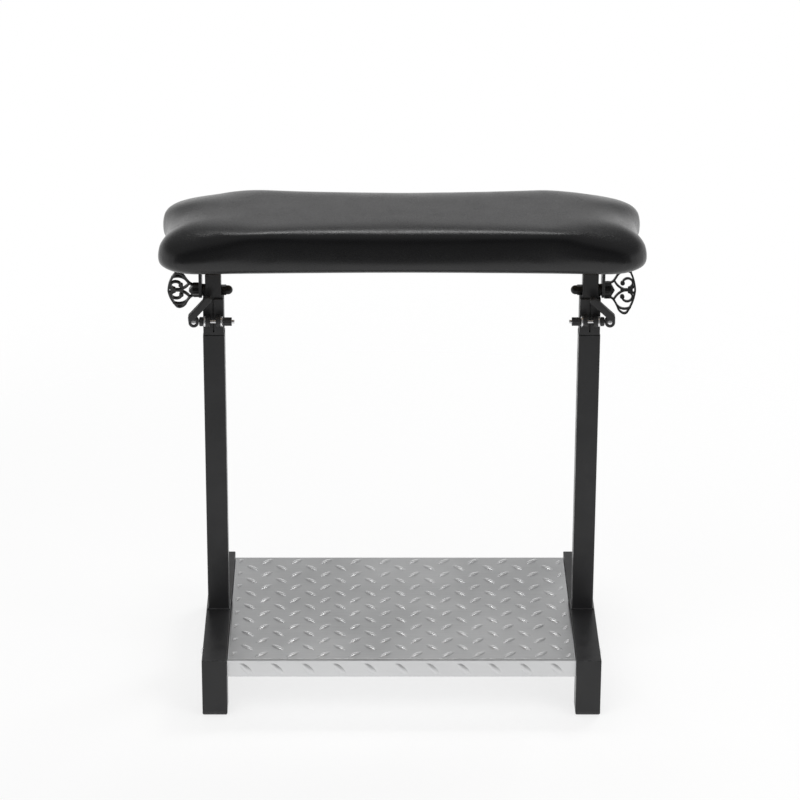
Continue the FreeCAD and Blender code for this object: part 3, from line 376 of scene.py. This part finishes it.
def pad_leather():
    leather = Surface("coated_leather", (0.007, 0.007, 0.0075), 0.25, 0.0, 0.5)
    bent = leather.add("ShaderNodeVectorMath", operation="MULTIPLY_ADD")
    swirl = leather.add("ShaderNodeTexNoise")
    leather.join(leather.place, swirl.inputs["Vector"])
    swirl.inputs["Scale"].default_value = 260.0
    leather.join(swirl.outputs["Color"], bent.inputs[0])
    bent.inputs[1].default_value = (GRAIN_BEND, GRAIN_BEND, GRAIN_BEND)
    leather.join(leather.place, bent.inputs[2])
    creases = leather.cells(780.0, "DISTANCE_TO_EDGE", bent.outputs["Vector"])
    grain = leather.ranged(creases, 0.0, 0.16)
    pores = leather.ranged(leather.cells(2300.0), 0.0, 0.4)
    patches = leather.noise(5.0, 2.0)
    hide = leather.mixed(patches, (0.006, 0.006, 0.0066), (0.008, 0.008, 0.0087))
    # The grain's creases are painted darker: painted shade in the creases
    tone = leather.mixed(leather.product(grain, 0.5), (0.005, 0.005, 0.0056), hide)
    leather.put("Base Color", tone)
    shine = leather.varied(leather.noise(26.0, 4.0), 0.21, 0.28)
    leather.put("Roughness", leather.sum(shine, leather.ranged(grain, 0.0, 1.0, 0.08, 0.0)))
    fine = leather.bump(pores, 0.00003, 0.2)
    leather.bump(grain, 0.00006, 0.3, fine)
    return leather.material


def pad_foam():
    foam = Surface("foam", (0.82, 0.78, 0.62), 0.9, 0.0, 0.2)
    open_cells = foam.cells(1400.0)
    # The foam's pits are painted darker: painted shade in the open cells
    foam.put("Base Color", foam.mixed(open_cells, (0.66, 0.61, 0.46), (0.86, 0.82, 0.67)))
    foam.bump(open_cells, 0.0004, 0.7)
    return foam.material


def pad_wood():
    wood = Surface("plywood", (0.55, 0.4, 0.25), 0.62, 0.0, 0.3)
    rings = wood.noise(1.0, 4.0, 0.6, (5.0, 70.0, 70.0))
    pores = wood.noise(1.0, 2.0, 0.5, (40.0, 1500.0, 1500.0))
    veneer = wood.mixed(wood.ranged(rings, 0.35, 0.65), (0.46, 0.31, 0.18), (0.66, 0.5, 0.33))
    dark = wood.ranged(pores, 0.52, 0.7, 0.0, 0.5)
    wood.put("Base Color", wood.mixed(dark, veneer, (0.3, 0.19, 0.1)))
    wood.put("Roughness", wood.varied(rings, 0.55, 0.7))
    wood.bump(pores, 0.0002, 0.4)
    return wood.material


SURFACES = {
    "frame_paint": frame_paint(),
    "tread_metal": tread_metal(),
    "black_plastic": black_plastic(),
    "knob_enamel": knob_enamel(),
    "chrome": chrome(),
    "zinc": zinc(),
    "pad_leather": pad_leather(),
    "pad_foam": pad_foam(),
    "pad_wood": pad_wood(),
}


def dress_nodes():
    """Each CAD node gets the surface of its record slot."""
    for row in frame["record"]["subparts"]:
        item = frame["nodes"][row["node"]]
        surface = SURFACES[row["material_slot"]]
        for place in item.material_slots:
            place.material = surface


# Pad

def arc(hub, radius, start, end, steps):
    """Points from angle start up to, but not at, angle end."""
    turns = [start + (end - start) * i / steps for i in range(steps)]
    return [hub + radius * Vector((math.cos(turn), math.sin(turn))) for turn in turns]


def bearing(vector):
    return math.atan2(vector.y, vector.x)


def pad_arcs(side_inset, end_inset, lobe):
    """Centres and radii of a section's lobes and of its hollow fronts and ends."""
    hub = Vector((PAD_WIDTH / 2 - end_inset - lobe, PAD_DEPTH / 2 - side_inset - lobe))
    front_reach = (hub.x ** 2 + PAD_FRONT_DIP ** 2) / (2 * PAD_FRONT_DIP)
    end_reach = (hub.y ** 2 + PAD_SIDE_DIP ** 2) / (2 * PAD_SIDE_DIP)
    front_hub = Vector((0.0, hub.y + front_reach - PAD_FRONT_DIP))
    end_hub = Vector((hub.x + end_reach - PAD_SIDE_DIP, 0.0))
    return hub, front_hub, front_reach - lobe, end_hub, end_reach - lobe


def pad_outline(side_inset, end_inset, lobe):
    """Points once round the pad: four round lobes joined by four hollow sides."""
    hub, front_hub, front_radius, end_hub, end_radius = pad_arcs(side_inset, end_inset, lobe)
    quarter = arc(end_hub, end_radius, math.pi, bearing(hub - end_hub), SIDE_STEPS)
    quarter += arc(hub, lobe, bearing(end_hub - hub), bearing(front_hub - hub), LOBE_STEPS)
    quarter += arc(front_hub, front_radius, bearing(hub - front_hub), -math.pi / 2, FRONT_STEPS)
    middle = Vector((0.0, front_hub.y - front_radius))
    half = quarter + [middle] + [Vector((-p.x, p.y)) for p in reversed(quarter)]
    return half[:-1] + [Vector((-p.x, -p.y)) for p in half[:-1]]


def even_outline(inset):
    """The outline drawn in evenly, as the board's and the hem's edges are."""
    return pad_outline(inset, inset, PAD_LOBE - LOBE_SHRINK_SHARE * inset)


def between(shares, i, step):
    """A smooth curve through rows of shares, at step of the way from row i to the next."""
    rows = [shares[max(0, min(len(shares) - 1, i + k))] for k in (-1, 0, 1, 2)]
    found = []
    for before, here, there, after in zip(*rows):
        found.append(0.5 * (2 * here + (there - before) * step
                            + (2 * before - 5 * here + 4 * there - after) * step ** 2
                            + (3 * here - before - 3 * there + after) * step ** 3))
    return found


def add_ring(mesh, outline, level):
    return [mesh.verts.new((p.x, p.y, level)) for p in outline]


def bridge(mesh, low, high):
    count = len(low)
    for i in range(count):
        following = (i + 1) % count
        mesh.faces.new((low[i], low[following], high[following], high[i]))


def to_object(mesh, name):
    mesh.normal_update()
    data = bpy.data.meshes.new(name)
    mesh.to_mesh(data)
    mesh.free()
    item = bpy.data.objects.new(name, data)
    bpy.context.scene.collection.objects.link(item)
    return item


def shade_smooth(item):
    for face in item.data.polygons:
        face.use_smooth = True


def eased(value, start, end):
    """0 up to start and 1 from end on, smooth between."""
    share = max(0.0, min(1.0, (value - start) / (end - start)))
    return share * share * (3 - 2 * share)


def cushion_form():
    """The pad's closed form: low at the top, which swells, and wide, as smoothing draws it in."""
    mesh = bmesh.new()
    rings = []
    last = len(PAD_SECTION_SHARES) - 1
    for step in range(last * SECTION_STEPS + 1):
        i = min(step // SECTION_STEPS, last - 1)
        part = step / SECTION_STEPS - i
        height_share, side_share, end_share = between(PAD_SECTION_SHARES, i, part)
        side_inset = side_share * PAD_LOBE
        lobe = PAD_LOBE + LOBE_GROWTH_SHARE * side_inset + SIDE_SPARE
        outline = pad_outline(side_inset - SIDE_SPARE, end_share * PAD_LOBE - END_SPARE, lobe)
        rings.append(add_ring(mesh, outline, PAD_LOW + height_share * (PAD_HEIGHT - TOP_SLACK)))
    for ring in rings:
        for vertex in ring:
            share = (vertex.co.z - PAD_LOW) / PAD_HEIGHT
            outward = eased(abs(vertex.co.x), LOBE_START, LOBE_END)
            vertex.co.y *= 1.0 - LOBE_SLOPE * share ** LOBE_SLOPE_POWER * outward
    for low, high in zip(rings, rings[1:]):
        bridge(mesh, low, high)
    mesh.faces.new(list(reversed(rings[0])))
    mesh.faces.new(rings[-1])
    return to_object(mesh, "pad_form")


def apply_modifiers(item):
    seen = bpy.context.evaluated_depsgraph_get()
    baked = bpy.data.meshes.new_from_object(item.evaluated_get(seen))
    old = item.data
    item.modifiers.clear()
    item.data = baked
    bpy.data.meshes.remove(old)


def remesh(item, voxel):
    modifier = item.modifiers.new("even_faces", "REMESH")
    modifier.mode = "VOXEL"
    modifier.voxel_size = voxel
    apply_modifiers(item)


def lay_on(item, form):
    """Each vertex goes to the nearest place on the form's surface."""
    modifier = item.modifiers.new("on_form", "SHRINKWRAP")
    modifier.target = form
    apply_modifiers(item)


def smooth(item, passes):
    modifier = item.modifiers.new("smooth", "SMOOTH")
    modifier.factor = SMOOTH_FACTOR
    modifier.iterations = passes
    apply_modifiers(item)


def evened(item, moves):
    """The moves of the vertices, each evened out with those around it."""
    mesh = item.data.copy()
    for vertex, move in zip(mesh.vertices, moves):
        vertex.co = move
    field = bpy.data.objects.new("moves", mesh)
    bpy.context.scene.collection.objects.link(field)
    smooth(field, SWELL_PASSES)
    found = [vertex.co.copy() for vertex in field.data.vertices]
    bpy.data.objects.remove(field)
    return found


def swell(item):
    """The cover fills out over its foam like a firm cushion, held along its lower edge."""
    held = item.vertex_groups.new(name=HELD_GROUP)
    held.add([v.index for v in item.data.vertices if v.co.z < PAD_LOW + PIN_HEIGHT], 1.0, "REPLACE")
    start = [v.co.copy() for v in item.data.vertices]
    cloth = item.modifiers.new("cloth", "CLOTH")
    for name, value in CLOTH.items():
        setattr(cloth.settings, name, value)
    cloth.settings.effector_weights.gravity = 0.0
    cloth.collision_settings.use_collision = False
    cloth.point_cache.frame_start = 1
    cloth.point_cache.frame_end = PAD_FRAMES
    scene = bpy.context.scene
    for moment in range(1, PAD_FRAMES + 1):
        scene.frame_set(moment)
    apply_modifiers(item)
    moves = [vertex.co - place for vertex, place in zip(item.data.vertices, start)]
    moves = [move * min(1.0, PAD_SWELL / max(move.length, LEAST_MOVE)) for move in moves]
    for vertex, place, move in zip(item.data.vertices, start, evened(item, moves)):
        vertex.co = place + move
    scene.frame_set(1)


def inset_of(point):
    """How far a point of the underside lies inside the pad's widest outline."""
    hub, front_hub, front_radius, end_hub, end_radius = pad_arcs(0.0, 0.0, PAD_LOBE)
    spot = Vector((abs(point.x), abs(point.y)))
    depths = [(spot - front_hub).length - front_radius, (spot - end_hub).length - end_radius]
    if spot.x > hub.x and spot.y > hub.y:
        depths.append(PAD_LOBE - (spot - hub).length)
    return min(depths)


def open_underside(item):
    """The underside is drawn up inside the hem, where the board closes the pad."""
    rim = BOARD_INSET + HEM_WIDTH - RECESS_MARGIN
    for vertex in item.data.vertices:
        if vertex.co.z < PAD_LOW + PIN_HEIGHT and inset_of(vertex.co) > rim:
            vertex.co.z += RECESS_DEPTH


def cushion():
    form = cushion_form()
    item = bpy.data.objects.new("pad_cushion", form.data.copy())
    bpy.context.scene.collection.objects.link(item)
    remesh(item, PAD_VOXEL)
    lay_on(item, form)
    bpy.data.objects.remove(form)
    swell(item)
    smooth(item, SMOOTH_PASSES)
    open_underside(item)
    finer = item.modifiers.new("finer", "SUBSURF")
    finer.levels = 1
    finer.render_levels = 1
    apply_modifiers(item)
    shade_smooth(item)
    item.data.materials.clear()
    item.data.materials.append(SURFACES["pad_leather"])
    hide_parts("pad_cover", "pad_foam")
    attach(item, "pad")


def pleat(point, reach):
    """How far the hem's folds stand out at a point, most at the inner edge round the lobes."""
    half_lobe = PAD_LOBE / 2
    corner = Vector((PAD_WIDTH / 2 - 3 * half_lobe, PAD_DEPTH / 2 - 3 * half_lobe))
    spot = Vector((abs(point.x), abs(point.y))) - corner
    nearest = min(spot.x, spot.y)
    if nearest < 0.0:
        return 0.0
    fold = math.cos(bearing(spot) * PLEATS_PER_LOBE * QUARTERS) * 0.5 + 0.5
    return PLEAT_DEPTH * fold ** 2 * min(1.0, nearest / half_lobe) * reach


def hem():
    """The cover's edge, turned under the board and gathered in pleats at the lobes."""
    mesh = bmesh.new()
    under = []
    over = []
    end = BOARD_INSET + HEM_WIDTH
    for i in range(HEM_STEPS + 1):
        share = i / HEM_STEPS
        inset = HEM_START + (end - HEM_START) * share
        tuck = HEM_TUCK * (1 - share) ** HEM_TUCK_POWER
        low = add_ring(mesh, even_outline(inset), PAD_LOW + tuck)
        for vertex in low:
            vertex.co.z -= pleat(vertex.co, share)
        under.append(low)
        over.append(add_ring(mesh, even_outline(inset), PAD_LOW + HEM_SHEET + tuck))
    for first, second in zip(under, under[1:]):
        bridge(mesh, second, first)
    for first, second in zip(over, over[1:]):
        bridge(mesh, first, second)
    bridge(mesh, under[0], over[0])
    bridge(mesh, over[-1], under[-1])
    item = to_object(mesh, "pad_hem")
    shade_smooth(item)
    item.data.materials.append(SURFACES["pad_leather"])
    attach(item, "pad")


def staples():
    """Wire staples that hold the hem to the board."""
    mesh = bmesh.new()
    line = even_outline(BOARD_INSET + HEM_WIDTH / 2)
    travelled = 0.0
    for here, there in zip(line, line[1:] + line[:1]):
        step = (there - here).length
        travelled += step
        if travelled < STAPLE_PITCH:
            continue
        travelled -= STAPLE_PITCH
        along = (there - here).normalized()
        across = Vector((-along.y, along.x))
        level = PAD_LOW - pleat(here, 0.5)
        corners = []
        for end in (-1, 1):
            for side, rise in ((-1, STAPLE_SUNK), (1, STAPLE_SUNK),
                               (1, -STAPLE_PROUD), (-1, -STAPLE_PROUD)):
                spot = here + along * end * STAPLE_WIDTH / 2 + across * side * STAPLE_WIRE / 2
                corners.append(mesh.verts.new((spot.x, spot.y, level + STAPLE_WIRE * rise)))
        for k in range(4):
            following = (k + 1) % 4
            mesh.faces.new((corners[k], corners[following], corners[4 + following], corners[4 + k]))
        mesh.faces.new(list(reversed(corners[:4])))
        mesh.faces.new(corners[4:])
    bmesh.ops.recalc_face_normals(mesh, faces=mesh.faces)
    bmesh.ops.bevel(mesh, geom=mesh.edges[:], offset=STAPLE_WIRE * STAPLE_ROUND,
                    segments=STAPLE_ROUND_STEPS, affect="EDGES")
    item = to_object(mesh, "pad_staples")
    item.data.materials.append(SURFACES["zinc"])
    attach(item, "pad")


# Studio

def camera():
    data = bpy.data.cameras.new("camera")
    data.sensor_width = SENSOR_MM
    data.lens = FOCAL_PIXELS * SENSOR_MM / PHOTO_SIDE
    data.shift_x = (PHOTO_SIDE / 2 - AXIS_PIXEL) / PHOTO_SIDE
    item = bpy.data.objects.new("camera", data)
    item.location = CAMERA_PLACE
    item.rotation_euler = (math.radians(90.0 - CAMERA_PITCH), 0.0, 0.0)
    bpy.context.scene.collection.objects.link(item)
    bpy.context.scene.camera = item


def lamps():
    for name, facts in LAMPS.items():
        data = bpy.data.lights.new(name, "AREA")
        data.shape = "ELLIPSE"
        data.size, data.size_y = facts["size"]
        data.energy = facts["watts"]
        item = bpy.data.objects.new(name, data)
        item.location = facts["place"]
        item.visible_glossy = facts["mirrored"]
        aim = Vector(LAMP_AIM) - item.location
        item.rotation_euler = aim.to_track_quat("-Z", "Y").to_euler()
        bpy.context.scene.collection.objects.link(item)


def faded(tree, value, start, end, tone):
    """1 up to start, falling to tone at end and beyond."""
    item = tree.nodes.new("ShaderNodeMapRange")
    item.interpolation_type = "SMOOTHSTEP"
    tree.links.new(value, item.inputs["Value"])
    item.inputs["From Min"].default_value = start
    item.inputs["From Max"].default_value = end
    item.inputs["To Min"].default_value = 1.0
    item.inputs["To Max"].default_value = tone
    return item.outputs["Result"]


def joined(tree, operation, first, second):
    item = tree.nodes.new("ShaderNodeMath")
    item.operation = operation
    tree.links.new(first, item.inputs[0])
    if isinstance(second, float):
        item.inputs[1].default_value = second
    else:
        tree.links.new(second, item.inputs[1])
    return item.outputs["Value"]


def background_rays(tree):
    """1 for rays that the camera, metal or glass sends out, 0 for light on the object."""
    rays = tree.nodes.new("ShaderNodeLightPath")
    glossy = rays.outputs["Is Glossy Ray"]
    mirrored = joined(tree, "MAXIMUM", glossy, rays.outputs["Is Transmission Ray"])
    return joined(tree, "MAXIMUM", rays.outputs["Is Camera Ray"], mirrored)


def world():
    """A white room, dimmer at the ceiling and behind the photographer. The camera sees it white."""
    room = bpy.data.worlds.new("studio")
    bpy.context.scene.world = room
    room.use_nodes = True
    tree = room.node_tree
    backdrop = tree.nodes["Background"]
    backdrop.inputs["Color"].default_value = (1.0, 1.0, 1.0, 1.0)
    facing = tree.nodes.new("ShaderNodeTexCoord")
    parts = tree.nodes.new("ShaderNodeSeparateXYZ")
    tree.links.new(facing.outputs["Generated"], parts.inputs["Vector"])
    ceiling = faded(tree, parts.outputs["Z"], CEILING_START, CEILING_END, CEILING_TONE)
    forward = joined(tree, "MULTIPLY", parts.outputs["Y"], -1.0)
    front = faded(tree, forward, FRONT_START, FRONT_END, FRONT_TONE)
    rays = tree.nodes.new("ShaderNodeLightPath")
    ground = faded(tree, parts.outputs["Z"], -GROUND_END, -GROUND_START, 0.0)
    round_about = joined(tree, "MULTIPLY", ceiling, joined(tree, "MAXIMUM", front, ground))
    shown = joined(tree, "MAXIMUM", round_about, rays.outputs["Is Camera Ray"])
    level = tree.nodes.new("ShaderNodeMapRange")
    tree.links.new(background_rays(tree), level.inputs["Value"])
    level.inputs["To Min"].default_value = AMBIENT
    tree.links.new(shown, level.inputs["To Max"])
    tree.links.new(level.outputs["Result"], backdrop.inputs["Strength"])


def floor():
    """A pale round floor that fades into the white room, and keeps the object's shadow."""
    mesh = bmesh.new()
    bmesh.ops.create_circle(mesh, cap_ends=True, segments=FLOOR_SIDES, radius=FLOOR_RADIUS)
    item = to_object(mesh, "floor")
    item.location.z = -FLOOR_DROP
    material = bpy.data.materials.new("pale_floor")
    material.use_nodes = True
    tree = material.node_tree
    tree.nodes.clear()
    seen = background_rays(tree)
    pale = tree.nodes.new("ShaderNodeBsdfDiffuse")
    pale.inputs["Color"].default_value = (FLOOR_TONE, FLOOR_TONE, FLOOR_TONE, 1.0)
    shown = tree.nodes.new("ShaderNodeBsdfDiffuse")
    shown.inputs["Color"].default_value = (FLOOR_SEEN_TONE, FLOOR_SEEN_TONE, FLOOR_SEEN_TONE, 1.0)
    glow = tree.nodes.new("ShaderNodeEmission")
    glow.inputs["Strength"].default_value = FLOOR_GLOW
    lit = tree.nodes.new("ShaderNodeAddShader")
    tree.links.new(shown.outputs["BSDF"], lit.inputs[0])
    tree.links.new(glow.outputs["Emission"], lit.inputs[1])
    surface = tree.nodes.new("ShaderNodeMixShader")
    tree.links.new(seen, surface.inputs[0])
    tree.links.new(pale.outputs["BSDF"], surface.inputs[1])
    tree.links.new(lit.outputs["Shader"], surface.inputs[2])
    place = tree.nodes.new("ShaderNodeTexCoord")
    reach = tree.nodes.new("ShaderNodeVectorMath")
    reach.operation = "LENGTH"
    tree.links.new(place.outputs["Object"], reach.inputs[0])
    fade = tree.nodes.new("ShaderNodeMapRange")
    fade.interpolation_type = "SMOOTHSTEP"
    fade.inputs["From Min"].default_value = FLOOR_CLEAR
    fade.inputs["From Max"].default_value = FLOOR_RADIUS
    tree.links.new(reach.outputs["Value"], fade.inputs["Value"])
    clear = tree.nodes.new("ShaderNodeBsdfTransparent")
    blend = tree.nodes.new("ShaderNodeMixShader")
    tree.links.new(fade.outputs["Result"], blend.inputs[0])
    tree.links.new(surface.outputs["Shader"], blend.inputs[1])
    tree.links.new(clear.outputs["BSDF"], blend.inputs[2])
    output = tree.nodes.new("ShaderNodeOutputMaterial")
    tree.links.new(blend.outputs["Shader"], output.inputs["Surface"])
    item.data.materials.append(material)


dress_nodes()
cushion()
hem()
staples()
camera()
lamps()
world()
floor()
bpy.context.scene.view_settings.view_transform = "Standard"
